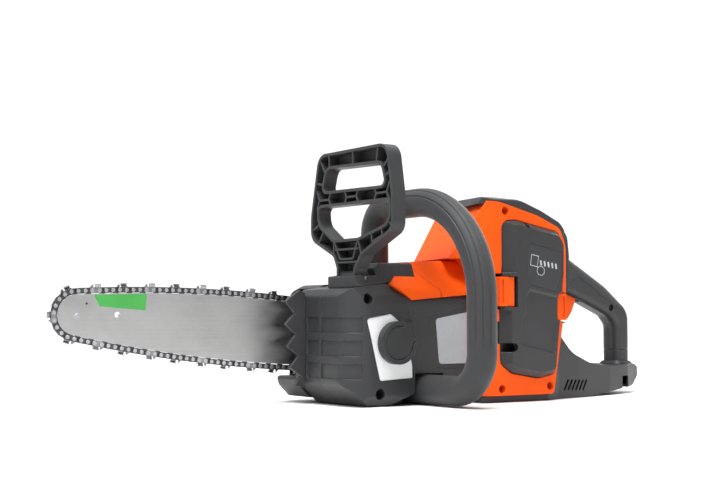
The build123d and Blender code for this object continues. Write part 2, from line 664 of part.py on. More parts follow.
BATTERY_SIDE = [(-84.5, 37), (-84, 92), (-87.5, 130), (-87.5, 171.5), (-104, 173.5), (-158, 164), (-165.5, 153),
                (-165, 124), (-153.5, 26.5), (-132, 22.5), (-98, 28)]
BATTERY_SIDE_R = [8, 40, 40, 8, 8, 8, 8, 30, 8, 20, 14]


def battery_outline(grow=0.0):
    face = rounded(BATTERY_SIDE, BATTERY_SIDE_R)
    return offset(face, grow) if grow else face


def make_tower():
    shell = tower_envelope() - tower_envelope(WALL)
    bay_lining = side_prism(battery_outline(0.8 + WALL), BAY_DEPTH_Y - WALL, TOWER_LEFT_Y - 1.0) & tower_envelope()
    shell += bay_lining
    shell -= side_prism(battery_outline(0.8), BAY_DEPTH_Y, TOWER_LEFT_Y + 5)
    # finger reliefs round the two release latches and the lower grip notch
    shell -= block(-86, -76.5, LATCH_Y0 - 1, 80, LATCH_Z0 - 3, LATCH_Z1 + 3)
    shell -= side_prism(Pos(-80, 66) * Circle(11), 58, 80)
    shell -= block(TOWER_BACK_X - 5, REAR_LATCH_X1 + 3, LATCH_Y0 - 1, 80, REAR_LATCH_Z0 - 1, REAR_LATCH_Z1 + 1)
    for x, z in TOWER_SCREWS:
        shell += rod_y(x, z, 5.2, 40, TOWER_LEFT_Y - 0.5) & tower_envelope()
        shell -= rod_y(x, z, 4.0, TOWER_SEAT_Y, TOWER_LEFT_Y + 1)
        shell -= rod_y(x, z, 1.8, 38, TOWER_SEAT_Y + 1)
    for x in (-144, -92):
        for z in (34, 104):
            shell += rod_y(x, z, 2.6, BOARD_Y + 1.6, BAY_DEPTH_Y - WALL)
    for x in TERMINAL_X:
        shell -= block(x - 0.4, x + 0.4, BAY_DEPTH_Y - WALL - 1, BAY_DEPTH_Y + 1, CONTACT_Z0, CONTACT_Z1)
    shell -= wire_window()
    save("battery_housing", largest(shell))


TOWER_SCREWS = ((-91.5, 182.0), (-86.5, 13.0), (-147.5, 14.5))
TOWER_SEAT_Y = 56.0
BOARD_Y = -38.0
TERMINAL_X = [-131.0 + 9.0 * index for index in range(5)]
CONTACT_Z0 = 141.0
CONTACT_Z1 = 153.0
LATCH_Y0 = 59.0
LATCH_Y1 = 71.0
LATCH_Z0 = 91.0
LATCH_Z1 = 119.0
REAR_LATCH_X0 = -168.0
REAR_LATCH_X1 = -156.0
REAR_LATCH_Z0 = 78.0
REAR_LATCH_Z1 = 104.0
LATCH_TRAVEL = 2.5


def wire_window():
    """Opening between the tower and the body for the motor leads."""
    return block(BODY_BACK_X - 8, BODY_BACK_X + 4, -34, -18, 40, 80)


def make_top_cover():
    """Dark lid over the tower, with a skirt down its back to the base."""
    side = rounded([(-56, 189.5), (-60, 194.5), (-88, 196), (-110, 193.8), (-138, 184.6), (-163, 173.8),
                    (-174.5, 161), (-176.8, 142), (-176, 112), (-169.2, 74.8), (-160, 74.8), (-160, 120),
                    (-100, 184)], [0, 2, 60, 60, 60, 14, 14, 20, 60, 0, 0, 0, 0])
    cover = side_prism(side, TOWER_RIGHT_Y + 1, TOWER_LEFT_Y - 1)
    plan = tower_plan(0.8) + Pos(-174, 9) * Rectangle(30, 108)
    cover &= plan_prism(plan, 70, 250)
    crown = rounded([(TOWER_RIGHT_Y + 1, 70), (TOWER_LEFT_Y - 1, 70), (TOWER_LEFT_Y - 1, 193.5), (30, 200),
                     (-20, 200), (TOWER_RIGHT_Y + 1, 195)], [0, 0, 4, 40, 40, 8])
    cover &= front_prism(crown, -190, -40)
    cover &= Pos(6, 0, 0) * slope_room()
    cover -= tower_envelope()
    edges = cover.edges().filter_by(lambda e: e.center().Y > TOWER_LEFT_Y - 1.2 and e.center().Z > 150)
    cover = soften(largest(cover), [e for e in edges if e.length > 12], 2.5)
    cover -= grip_root_room()
    cover -= block(-190, -150, LATCH_Y0 - 1, 80, REAR_LATCH_Z0 - 2, REAR_LATCH_Z1 + 2)
    save("top_cover", largest(cover))


def soften(shape, edges, radius):
    """Round edges one set at a time, keeping the shape where a blend can't be made."""
    for size in (radius, radius * 0.6, radius * 0.3):
        try:
            return fillet(edges, size)
        except Exception:
            continue
    return shape


# ---------------------------------------------------------------- battery
def make_battery():
    inner_end = BAY_DEPTH_Y + 4
    case = side_prism(battery_outline(-3.2), inner_end, 58)
    case -= side_prism(battery_outline(-3.2 - WALL), inner_end + WALL, 55)
    for x in TERMINAL_X:
        case -= block(x - 1.0, x + 1.0, BAY_DEPTH_Y, inner_end + WALL, CONTACT_Z0 - 1, CONTACT_Z1 + 1)
    save("battery_case", largest(case))
    save("battery_lid", make_lid())

    plate = side_prism(offset(display_outline(), -0.3), BATTERY_FACE_Y - 1.0, BATTERY_FACE_Y - 0.2)
    plate -= side_prism(Pos(*BUTTON) * Rectangle(BUTTON_SIZE + 0.4, BUTTON_SIZE + 0.4), 60, 80)
    lights = []
    for index in range(LIGHTS):
        x = LIGHT_X - 4.9 * index
        bar = Pos(x, LIGHT_Z + 0.15 * (x - LIGHT_X)) * Rot(0, 0, 80)
        plate -= side_prism(bar * Rectangle(5.4, 2.2), 60, 80)
        lights.append(side_prism(bar * Rectangle(5.2, 2.0), BATTERY_FACE_Y - 1.0, BATTERY_FACE_Y - 0.15))
    save("battery_display", largest(plate))
    save("charge_lights", group(lights))
    save("charge_button", side_prism(Pos(*BUTTON) * Rectangle(BUTTON_SIZE, BUTTON_SIZE), BATTERY_FACE_Y - 1.2,
                                     BATTERY_FACE_Y + 0.1))
    cells = [rod_y(-108 - 19.5 * row, 50 + 19.5 * index, 9.1, -11, 54) for row in range(2) for index in range(5)]
    save("battery_cells", group(cells))
    clips = []
    for x in TERMINAL_X:
        for side in (-1, 1):
            clips.append(block(*sorted((x + side * 0.6, x + side * 1.4)), -11, 1, CONTACT_Z0, CONTACT_Z1))
    save("battery_terminals", group(clips))
    blades = [block(x - 0.4, x + 0.4, BAY_DEPTH_Y - 6, -3, CONTACT_Z0, CONTACT_Z1) for x in TERMINAL_X]
    save("bay_contacts", group(blades))


def sunk_panel():
    """The lid's waisted panel, sunk with sloping sides."""
    face = rounded([(-116, 108), (-111, 102), (-110.5, 87), (-106, 79), (-104.5, 54), (-149.5, 44.5), (-152, 64),
                    (-158, 95), (-152, 102)], [2, 4, 6, 5, 3, 3, 20, 6, 2])
    return loft([Plane.XZ.offset(-(BATTERY_FACE_Y - 1.6)) * offset(face, -2.2),
                 Plane.XZ.offset(-(BATTERY_FACE_Y + 0.2)) * face])


def make_lid():
    lid = side_prism(battery_outline(), 58.2, BATTERY_FACE_Y - 6)
    lid += loft([Plane.XZ.offset(-(BATTERY_FACE_Y - 6)) * battery_outline(),
                 Plane.XZ.offset(-BATTERY_FACE_Y) * battery_outline(-5.0)])
    lid -= side_prism(battery_outline(-WALL - 3.5), 57, BATTERY_FACE_Y - 6)
    # wide bevels on the front edge, above and below the latch
    lid -= plan_prism(sharp([(-80, 60), (-87.5, 63.5), (-100, 73.2), (-100, 80), (-80, 80)]), LATCH_Z1 + 4, 180)
    lid -= plan_prism(sharp([(-80, 60), (-84.5, 64.5), (-94, 73.2), (-94, 80), (-80, 80)]), 20, LATCH_Z0 - 4)
    # latch notches, finger dent and the two top notches
    lid -= block(-LATCH_REACH - LATCH_TRAVEL - 0.6 - 84, -70, 57, 80, LATCH_Z0 - 0.6, LATCH_Z1 + 0.6)
    lid -= block(-180, REAR_LATCH_X1 + LATCH_TRAVEL + 0.6, 57, 80, REAR_LATCH_Z0 - 0.6, REAR_LATCH_Z1 + 0.6)
    lid -= side_prism(Pos(-88, 52) * SlotOverall(25, 8.5), 62, 80)
    lid -= block(-119.5, -112.5, 66, 80, 166.5, 176)
    lid -= block(-162, -156, 66, 80, 158, 172)
    lid -= side_prism(display_outline(), BATTERY_FACE_Y - 1.0, BATTERY_FACE_Y + 1)
    pocket = BUTTON_SIZE / 2 + 0.2
    lid -= block(BUTTON[0] - pocket, BUTTON[0] + pocket, BATTERY_FACE_Y - 2.2, 80, BUTTON[1] - pocket,
                 BUTTON[1] + pocket)
    lid -= sunk_panel()
    return largest(lid)


BUTTON = (-130.2, 125.4)         # X, Z of the charge button
BUTTON_SIZE = 5.0
LIGHTS = 5
LIGHT_X = -130.5
LIGHT_Z = 133.0
LATCH_REACH = 14.0


def display_outline():
    return rounded([(-114.5, 152.5), (-159, 144), (-158, 121), (-150.5, 105), (-117, 112), (-112, 124)],
                   [3, 3, 4, 2, 3, 4])


def make_latches():
    """Release latches on the battery's two edges, squeezed towards each other."""
    front = block(-84 - LATCH_REACH, -80, LATCH_Y0, LATCH_Y1, LATCH_Z0, LATCH_Z1)
    front -= block(-85.4, -82.4, LATCH_Y1 - 1.4, 80, LATCH_Z0 + 3, LATCH_Z1 - 3)
    save("battery_latch_front", front)
    rear = block(REAR_LATCH_X0, REAR_LATCH_X1, LATCH_Y0, LATCH_Y1 - 3, REAR_LATCH_Z0, REAR_LATCH_Z1)
    rear -= block(REAR_LATCH_X0 + 2, REAR_LATCH_X0 + 5, LATCH_Y1 - 4.4, 80, REAR_LATCH_Z0 + 3, REAR_LATCH_Z1 - 3)
    save("battery_latch_rear", rear)


def make_board():
    """Motor controller: circuit board, capacitors and heat sink."""
    board = block(-150, -84, BOARD_Y, BOARD_Y + 1.6, 28, 112)
    for index in range(3):
        board += rod_y(-96 - 13 * index, 96, 5.0, BOARD_Y + 1.6, BOARD_Y + 13)
    board += block(-140, -104, BOARD_Y + 1.6, BOARD_Y + 9, 44, 80)
    save("controller_board", board)


# ---------------------------------------------------------------- front handle
def handle_path():
    points = [(HANDLE_X, -22.0, HANDLE_R + 1), (HANDLE_X, HANDLE_LEFT_Y, HANDLE_R + 1),
              (HANDLE_X, HANDLE_LEFT_Y, HANDLE_TOP_Z), (HANDLE_X, HANDLE_RIGHT_Y, HANDLE_TOP_Z),
              (HANDLE_X, HANDLE_RIGHT_Y + 1, 114)]
    return FilletPolyline(*points, radius=[36, 92, 26])


def handle_sweep(radius):
    path = handle_path()
    start = path @ 0
    profile = Plane(origin=start, z_dir=path % 0) * Circle(radius)
    return sweep(profile, path=path)


def make_front_handle():
    save("front_handle_core", handle_sweep(9.0) - handle_sweep(6.0))
    grip = handle_sweep(HANDLE_R) - handle_sweep(9.0)
    save("front_handle_grip", grip)


# ---------------------------------------------------------------- rear handle and base
GRIP_OUTLINE = [(GRIP_ROOT_X, 166), (-200, 158.5), (-232, 143.3), (-285, 114.5), (-320, 88), (-320, 46.3),
                (-299, 46.3), (-299, 72), (-290, 82), (-258, 95), (-228, 105.5), (GRIP_ROOT_X, 116)]
GRIP_OUTLINE_R = [0, 30, 60, 60, 22, 0, 0, 10, 14, 40, 40, 0]


def grip_outline(grow=0.0):
    face = rounded(GRIP_OUTLINE, GRIP_OUTLINE_R)
    return offset(face, grow) if grow else face


def grip_root_room():
    """Room in the top cover for the rear handle's root."""
    return side_prism(offset(grip_outline(), GAP), GRIP_Y - GRIP_HALF_WIDTH - GAP, GRIP_Y + GRIP_HALF_WIDTH + GAP)


GRIP_CAP_LINE = [(-150, 92), (-206, 98), (-226, 113.5), (-244, 124), (-303, 89), (-311, 97), (-330, 120),
                 (-330, 220), (-150, 220)]
GRIP_CAP_LINE_R = [0, 8, 8, 5, 4, 4, 0, 0, 0]
GRIP_SCREW = (-291.0, 91.0)
GRIP_SEAT_Y = GRIP_Y + 7.5
TRIGGER_PIVOT = (-204.0, 121.0)
LOCKOUT_PIVOT = (-194.0, 155.7)


def make_rear_handle():
    y0, y1 = GRIP_Y - GRIP_HALF_WIDTH, GRIP_Y + GRIP_HALF_WIDTH
    grip = side_prism(grip_outline(), y0, y1)
    long_edges = [e for e in grip.edges() if e.length > 1 and abs(abs(e.center().Y - GRIP_Y) - GRIP_HALF_WIDTH) < 0.1
                  and GRIP_ROOT_X - 1 > e.center().X and 47 < e.center().Z]
    grip = soften(grip, long_edges, 8.0)
    hollow = side_prism(offset(grip_outline(), -4.5), y0 + 4.5, y1 - 4.5)
    pins = [rod_y(*TRIGGER_PIVOT, 2.0, GRIP_Y - 10, GRIP_Y + 10), rod_y(*LOCKOUT_PIVOT, 1.5, GRIP_Y - 9, GRIP_Y + 9)]
    slots = pins[0] + pins[1] + block(-252, -196, GRIP_Y - 6.4, GRIP_Y + 6.4, 80, 126)
    slots += block(-223, -187, GRIP_Y - 5.4, GRIP_Y + 5.4, 130, 175)
    cap_face = rounded(GRIP_CAP_LINE, GRIP_CAP_LINE_R)
    save("rear_handle_cap", largest((grip & side_prism(cap_face, y0 - 1, y1 + 1)) - hollow - slots))
    rest = grip - hollow + (rod_y(*GRIP_SCREW, 5.4, y0 + 1, y1 - 1) & grip)
    rest -= side_prism(offset(cap_face, 0.35), y0 - 1, y1 + 1)
    rest -= slots
    rest -= rod_y(*GRIP_SCREW, 3.6, GRIP_SEAT_Y, GRIP_Y + 20)
    rest -= rod_y(*GRIP_SCREW, 1.8, GRIP_Y - 10, GRIP_SEAT_Y + 1)
    save("rear_handle_left", largest(rest & block(-400, 0, GRIP_Y + 0.12, 100, 0, 300)))
    save("rear_handle_right", largest(rest & block(-400, 0, -100, GRIP_Y - 0.12, 0, 300)))

    blade = rounded([(-199, 126), (-247, 117.5), (-245, 101), (-239, 87), (-231.5, 77.5), (-226, 92), (-207, 112)],
                    [3, 3, 6, 8, 2, 10, 6])
    trigger = side_prism(blade, GRIP_Y - 6.0, GRIP_Y + 6.0) - rod_y(*TRIGGER_PIVOT, 2.05, -20, 10)
    save("power_trigger", trigger)
    save("trigger_pins", group(pins))
    lever = rounded([(-189.5, 153), (-220.5, 141.5), (-220.5, 153.5), (-206, 165.5), (-193, 166)], [2, 2, 5, 4, 4])
    lockout = side_prism(lever, GRIP_Y - 5.0, GRIP_Y + 5.0) - rod_y(*LOCKOUT_PIVOT, 1.55, -20, 10)
    save("trigger_lockout", lockout)
    save("trigger_switch", block(-238, -216, GRIP_Y - 6.2, GRIP_Y + 6.2, 127.4, 134))


def base_side(inset=0.0):
    n = inset
    return rounded([(BODY_BACK_X - GAP, n), (-218, n), (-316 + n, 8 + n), (FOOT_BACK_X + n, 19),
                    (FOOT_BACK_X + n, 26 - n), (-322, 31 - n), (-262, 30 - n), (-226, 34 - n), (-194, 45 - n),
                    (-177, 60.5 - n), (-165, 74 - n), (-153.2, 6), (BODY_BACK_X - GAP, 6)],
                   [0, 60, 10, 1.5, 1.5, 10, 60, 60, 40, 20, 0, 0, 0])


def base_plan(inset=0.0):
    n = inset
    return rounded([(BODY_BACK_X - GAP, 60), (-150, 60), (-172, 52 - n), (-205, 46 - n), (-262, 33 - n),
                    (-300, 22 - n), (FOOT_BACK_X + n, 2), (FOOT_BACK_X + n, -13), (-322 + n, -32 + n), (-262, -44 + n),
                    (-172, -44 + n), (BODY_BACK_X - GAP, -42)], [0, 8, 14, 30, 30, 14, 6, 6, 12, 20, 20, 0])


def make_base():
    base = side_prism(base_side(), -60, 62) & plan_prism(base_plan(), 0, 90)
    hollow = side_prism(base_side(3.0), -57, 59) & plan_prism(base_plan(3.0), 3.0, 90)
    hollow &= block(-308, -178, -60, 60, 3, 90)
    base -= hollow
    stub = side_prism(sharp([(-299, 24), (-299, 46), (-320, 46), (-320, 24)]), GRIP_Y - GRIP_HALF_WIDTH,
                      GRIP_Y + GRIP_HALF_WIDTH)
    base += fillet(stub.edges().filter_by(Axis.Z), 8.0)
    collar = plan_prism(Pos(-309.5, GRIP_Y) * RectangleRounded(27, 31, 8), 24, 34)
    base += chamfer(collar.edges().group_by(Axis.Z)[-1], 2.4)
    base -= block(-315, -304, GRIP_Y - 6, GRIP_Y + 6, 29, 50)
    for index in range(6):
        slot = Pos(-184.5 - 6.2 * index, 13.6 - 0.3 * index) * Rot(0, 0, 124) * SlotOverall(13.0, 3.2)
        base -= side_prism(slot, 25, 60)
    base -= block(-300, -288, 17, 60, -1, 19)
    save("base_pan", largest(base))


# ---------------------------------------------------------------- front details
def make_spike():
    """Steel spike bumper: a toothed plate with a flange screwed to the body's front."""
    tips = ((97, 95.8), (97.5, 74.2), (95, 53.6), (92, 34), (87.7, 17.2))
    valleys = ((87.1, 84.2), (86, 65.1), (82.8, 45), (80, 26.3))
    outline = [(FRONT_X + 0.1, 103), (82, 106)]
    for tip, valley in zip(tips, valleys):
        outline += [tip, valley]
    outline += [tips[-1], (FRONT_X + 0.1, 15.5)]
    spike = side_prism(sharp(outline), SPIKE_Y, SPIKE_Y + 3.6)
    spike += block(FRONT_X + 0.1, FRONT_X + 2.6, -37.5, SPIKE_Y + 0.5, 24, 98)
    screws = []
    for z in SPIKE_SCREW_Z:
        spike -= rod_x(SPIKE_SCREW_Y, z, 1.8, FRONT_X, FRONT_X + 4)
        screw = Pos(FRONT_X + 5.0, SPIKE_SCREW_Y, z) * Rot(0, 0, -90) * screw_y(0, 0, 0, 12)
        screws.append(screw)
    save("spike_bumper", spike)
    save("spike_screws", group(screws))


SPIKE_Y = -29.0


def make_cover():
    """Sprocket cover on the right, with its fixing knob and chain-tension wheel."""
    outline = [(-58, 20), (-44, 8), (50, 5), (63, 5), (74, 16), (77, 25), (62, 25), (62, 104), (46, 112), (-40, 108),
               (-58, 92)]
    face = rounded(outline, [14, 16, 3, 4, 4, 3, 1, 10, 12, 20, 16])
    skin = side_prism(face, COVER_Y, RIGHT_Y - GAP)
    edge = [e for e in skin.edges() if abs(e.center().Y - COVER_Y) < 0.1]
    skin = soften(skin, edge, 5.0)
    skin -= side_prism(offset(face, -WALL), COVER_Y + 3, RIGHT_Y)
    skin -= block(50, 90, COVER_Y + 4, RIGHT_Y, 25, 108)
    skin -= rod_y(STUD_X, STUD_Z, KNOB_R + 0.6, COVER_Y - 10, COVER_Y + 10)
    skin -= rod_y(*TENSION_WHEEL, 9.4, COVER_Y - 10, COVER_Y + 10)
    save("sprocket_cover", largest(skin))
    knob = rod_y(0, 0, KNOB_R, COVER_Y - 4, COVER_Y + 2.8)
    for index in range(12):
        angle = radians(30 * index)
        knob -= rod_y((KNOB_R + 0.8) * cos(angle), (KNOB_R + 0.8) * sin(angle), 2.2, COVER_Y - 10, COVER_Y + 10)
    knob -= rod_y(0, 0, 16.5, COVER_Y - 5, COVER_Y - 2) - block(-17, 17, COVER_Y - 6, COVER_Y, -4, 4)
    knob += rod_y(0, 0, 9.0, COVER_Y + 2.8, COVER_Y + 18)
    knob -= rod_y(0, 0, 4.05, COVER_Y + 4, COVER_Y + 20)
    save("cover_knob", Pos(STUD_X, 0, STUD_Z) * knob)
    save("bar_stud", rod_y(STUD_X, STUD_Z, 4.0, COVER_Y + 6, RIGHT_Y + 8))
    wheel = rod_y(*TENSION_WHEEL, 9.0, COVER_Y - 2, COVER_Y + 3.5)
    for index in range(16):
        angle = radians(22.5 * index)
        wheel -= rod_y(TENSION_WHEEL[0] + 9.4 * cos(angle), TENSION_WHEEL[1] + 9.4 * sin(angle), 0.9, -90, -70)
    save("tension_wheel", wheel)
    save("chain_catcher", block(46, 60, -54, RIGHT_Y - 0.1, 9, 18))


COVER_Y = -80.0
KNOB_R = 20.4
TENSION_WHEEL = (4.0, 88.0)


def make_pump():
    """Chain-oil pump behind the bar, with the hose from the tank."""
    x, z = PUMP_OUTLET
    pump = rod_y(x, z - 14, 7.0, -34.9, -20) + rod_y(x, z, 3.0, RIGHT_Y + WALL + 0.1, -28)
    pump += block(x - 3, x + 3, -34.9, -28, z - 12, z)
    hose = tube_y(x, z - 18, 2.4, 1.4, -19.9, 27.9)
    save("oil_pump", group([pump, hose]))


def make_screws():
    """Housing screws, sunk in their bosses."""
    screws = [screw_y(x, z, FLANK_SEAT_Y + 2.4, 30) for x, z in FLANK_SCREWS]
    screws += [screw_y(x, z, TOWER_SEAT_Y + 2.4, 15) for x, z in TOWER_SCREWS]
    screws.append(screw_y(*GRIP_SCREW, GRIP_SEAT_Y + 2.4, 16))
    for x, y in DECK_SCREWS:
        screws.append(Pos(x, y, DECK_SEAT_Z + 2.4) * Rot(90, 0, 0) * screw_y(0, 0, 0, 8))
    save("housing_screws", group(screws))


# ---------------------------------------------------------------- oil tank and filler
def make_tank():
    room = body_envelope(WALL + 0.4)
    tank = block(8, 64, 28, LEFT_Y - WALL - 0.4, 19, 87) & room
    window = side_prism(offset(rounded(WINDOW, 3.0), -0.35), LEFT_Y - WALL - 0.5, LEFT_Y - 0.8)
    tank += window & block(7.0, 64, 0, LEFT_Y, 0, DECK_Z)
    inner = block(10, 62, 30, LEFT_Y - 5.2, 21, 85) & plan_prism(body_plan(WALL + 3.0), 0, DECK_Z)
    tank -= inner
    tank += rod_y(CAP_X, CAP_Z, 16.6, 30, LEFT_Y + 1.0)
    tank -= rod_y(CAP_X, CAP_Z, 14.2, 26, LEFT_Y + 2.0)
    save("oil_tank", largest(tank))
    cap = rod_y(CAP_X, CAP_Z, CAP_R, LEFT_Y + 1.6, LEFT_Y + 5.6)
    arc = side_prism(Pos(CAP_X, CAP_Z) * (Circle(CAP_R) - Circle(15.4)), LEFT_Y + 5.6, LEFT_Y + 9.0)
    arc -= Pos(CAP_X, LEFT_Y + 8, CAP_Z) * Rot(0, 38, 0) * Box(50, 10, 21, align=(Align.MAX, Align.CENTER,
                                                                                  Align.CENTER))
    cap += arc
    cap += tube_y(CAP_X, CAP_Z, 13.6, 11.0, 34, LEFT_Y + 1.6)
    cap += tube_y(CAP_X, CAP_Z, 13.0, 11.0, LEFT_Y + 1.0, LEFT_Y + 2.0)
    save("oil_cap", largest(cap))
    save("oil_cap_seal", tube_y(CAP_X, CAP_Z, 15.6, 13.7, LEFT_Y + 1.0, LEFT_Y + 1.6))
    wing = Rot(0, 0, -38) * Pos(-8.6, 0) * Rectangle(17.2, 19.5)
    flap = side_prism(Pos(CAP_X, CAP_Z) * (Circle(14.8) + wing), LEFT_Y + 6.1, LEFT_Y + 8.6)
    save("oil_cap_tab", largest(flap))


def make_label():
    face = offset(rounded(LABEL, 4.0), -0.3)
    save("side_panel", side_prism(face, LEFT_Y - 1.6, LEFT_Y - 0.9))


def main():
    os.makedirs("parts", exist_ok=True)
    for step in (make_bar, make_chain, make_drive, make_motor, make_body, make_deck, make_guard, make_hood,
                 make_tower, make_top_cover, make_battery, make_latches, make_board, make_front_handle,
                 make_rear_handle, make_base, make_spike, make_cover, make_pump, make_tank, make_label, make_screws):
        step()
    for name, shape in parts.items():
        export_step(shape, f"parts/{name}.step")


main()
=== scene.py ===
import json
import math

import bpy
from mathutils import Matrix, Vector


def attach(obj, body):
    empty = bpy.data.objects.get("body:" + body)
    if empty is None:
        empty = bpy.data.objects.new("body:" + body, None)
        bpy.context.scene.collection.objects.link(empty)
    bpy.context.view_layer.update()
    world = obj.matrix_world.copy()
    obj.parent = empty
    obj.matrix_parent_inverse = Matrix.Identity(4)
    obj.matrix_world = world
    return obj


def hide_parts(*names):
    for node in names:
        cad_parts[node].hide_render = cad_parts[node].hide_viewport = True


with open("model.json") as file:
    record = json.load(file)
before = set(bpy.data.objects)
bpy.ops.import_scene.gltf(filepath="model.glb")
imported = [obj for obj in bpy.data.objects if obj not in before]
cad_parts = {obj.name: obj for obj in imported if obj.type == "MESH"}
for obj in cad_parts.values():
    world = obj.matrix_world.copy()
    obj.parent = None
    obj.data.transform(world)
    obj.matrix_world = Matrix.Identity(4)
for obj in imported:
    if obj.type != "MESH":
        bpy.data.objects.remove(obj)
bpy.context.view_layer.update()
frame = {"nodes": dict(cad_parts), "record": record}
NODES = frame["nodes"]

# The modelled details and the camera are placed in millimetres from the drive-sprocket axis, as in the
# part's drawings. Materials, lights and the floor are in the row frame's metres.
ORIGIN_X = -110.0     # the row origin, in the middle of the flat base


def M(x, y, z):
    """Drawing millimetres as a point in the row frame."""
    return Vector(((x - ORIGIN_X) / 1000, y / 1000, z / 1000))


# ---------------------------------------------------------------- material helpers
class Graph:
    """A Principled material, with short calls for the nodes that feed it."""

    def __init__(self, name):
        self.material = bpy.data.materials.new(name)
        self.material.use_nodes = True
        self.tree = self.material.node_tree
        self.shader = self.tree.nodes["Principled BSDF"]
        self.place = self.add("ShaderNodeTexCoord").outputs["Object"]

    def add(self, kind, **values):
        node = self.tree.nodes.new(kind)
        for key, value in values.items():
            setattr(node, key, value)
        return node

    def link(self, source, target):
        self.tree.links.new(source, target)

    def stretch(self, scale, rotation=(0, 0, 0)):
        node = self.add("ShaderNodeMapping")
        self.link(self.place, node.inputs["Vector"])
        node.inputs["Scale"].default_value = scale
        node.inputs["Rotation"].default_value = rotation
        return node.outputs["Vector"]

    def noise(self, scale, detail=3.0, rough=0.5, place=None):
        node = self.add("ShaderNodeTexNoise")
        self.link(place or self.place, node.inputs["Vector"])
        node.inputs["Scale"].default_value = scale
        node.inputs["Detail"].default_value = detail
        node.inputs["Roughness"].default_value = rough
        return node.outputs["Fac"]

    def grain(self, scale):
        node = self.add("ShaderNodeTexVoronoi")
        self.link(self.place, node.inputs["Vector"])
        node.inputs["Scale"].default_value = scale
        return node.outputs["Distance"]

    def spread(self, value, low, high, out_low=0.0, out_high=1.0):
        node = self.add("ShaderNodeMapRange")
        self.link(value, node.inputs["Value"])
        for key, number in (("From Min", low), ("From Max", high), ("To Min", out_low), ("To Max", out_high)):
            node.inputs[key].default_value = number
        return node.outputs["Result"]

    def times(self, first, second):
        node = self.add("ShaderNodeMath", operation="MULTIPLY")
        self.link(first, node.inputs[0])
        self.link(second, node.inputs[1])
        return node.outputs[0]

    def mix(self, factor, first, second):
        """Colour between two; a Mix node's colour sockets are inputs 6 and 7 and output 2."""
        node = self.add("ShaderNodeMix", data_type="RGBA")
        self.link(factor, node.inputs["Factor"])
        for socket, value in ((node.inputs[6], first), (node.inputs[7], second)):
            if isinstance(value, tuple):
                socket.default_value = (*value, 1.0)
            else:
                self.link(value, socket)
        return node.outputs[2]

    def soft_edges(self, radius):
        """Normal that rounds every edge by a small radius, in metres."""
        node = self.add("ShaderNodeBevel", samples=4)
        node.inputs["Radius"].default_value = radius
        return node.outputs["Normal"]

    def edges(self, normal, low, high):
        """0 on flat faces, 1 on edges, by how far the softened normal leans from the true one."""
        geometry = self.add("ShaderNodeNewGeometry")
        dot = self.add("ShaderNodeVectorMath", operation="DOT_PRODUCT")
        self.link(geometry.outputs["Normal"], dot.inputs[0])
        self.link(normal, dot.inputs[1])
        return self.spread(dot.outputs["Value"], high, low)

    def bump(self, height, strength, distance, normal=None):
        node = self.add("ShaderNodeBump")
        node.inputs["Strength"].default_value = strength
        node.inputs["Distance"].default_value = distance
        self.link(height, node.inputs["Height"])
        if normal is not None:
            self.link(normal, node.inputs["Normal"])
        return node.outputs["Normal"]

    def put(self, **values):
        for key, value in values.items():
            socket = self.shader.inputs[key.replace("_", " ")]
            if isinstance(value, bpy.types.NodeSocket):
                self.link(value, socket)
            elif isinstance(value, tuple):
                socket.default_value = (*value, 1.0)
            else:
                socket.default_value = value
        return self


def shade(colour, factor):
    """The colour made darker or paler, with no channel over 1."""
    return tuple(min(1.0, channel * factor) for channel in colour)


def moulded(name, colour, rough, grain_size=2600.0, grain_depth=0.5, edge=0.0007, wear=0.25,
            specular=0.45):
    """Moulded plastic: fine spark-eroded grain, cloudy colour, faint scuffs, paler worn edges."""
    g = Graph(name)
    rounded = g.soft_edges(edge)
    cloud = g.spread(g.noise(11.0, 4.0), 0.3, 0.7)
    tone = g.mix(cloud, shade(colour, 0.88), shade(colour, 1.14))
    slanted = g.stretch((1.0, 1.0, 7.0), (0.4, 0.7, 0.2))
    scuff = g.spread(g.noise(60.0, 6.0, 0.7, slanted), 0.66, 0.8, 0.0, 0.25)
    tone = g.mix(scuff, tone, shade(colour, 1.7))
    patches = g.spread(g.noise(180.0, 4.0, 0.7), 0.42, 0.62, 0.0, wear)
    worn = g.times(g.edges(rounded, 0.93, 0.995), patches)
    tone = g.mix(worn, tone, tuple(channel * 0.6 + 0.16 for channel in colour))
    fine = g.noise(grain_size, 2.0, 0.6)
    normal = g.bump(fine, grain_depth, 0.00012, rounded)
    gloss = g.spread(g.noise(34.0, 5.0, 0.6), 0.25, 0.75, rough - 0.06, rough + 0.07)
    g.put(Base_Color=tone, Roughness=gloss, Normal=normal, Specular_IOR_Level=specular)
    return g.material


def rubbery(name, colour, rough=0.62):
    """Soft-touch elastomer: matte with a slight sheen, with paler dusty patches scattered at random."""
    g = Graph(name)
    rounded = g.soft_edges(0.0005)
    cloud = g.spread(g.noise(18.0, 5.0, 0.6), 0.3, 0.7)
    tone = g.mix(cloud, shade(colour, 0.85), shade(colour, 1.2))
    dust = g.spread(g.noise(420.0, 5.0, 0.75), 0.62, 0.8, 0.0, 0.16)
    tone = g.mix(dust, tone, (0.22, 0.21, 0.2))
    normal = g.bump(g.noise(1900.0, 3.0, 0.7), 0.35, 0.0001, rounded)
    gloss = g.spread(g.noise(50.0, 4.0), 0.3, 0.7, rough - 0.07, rough + 0.07)
    return g.put(Base_Color=tone, Roughness=gloss, Normal=normal, Sheen_Weight=0.12, Sheen_Roughness=0.5,
                 Specular_IOR_Level=0.4).material


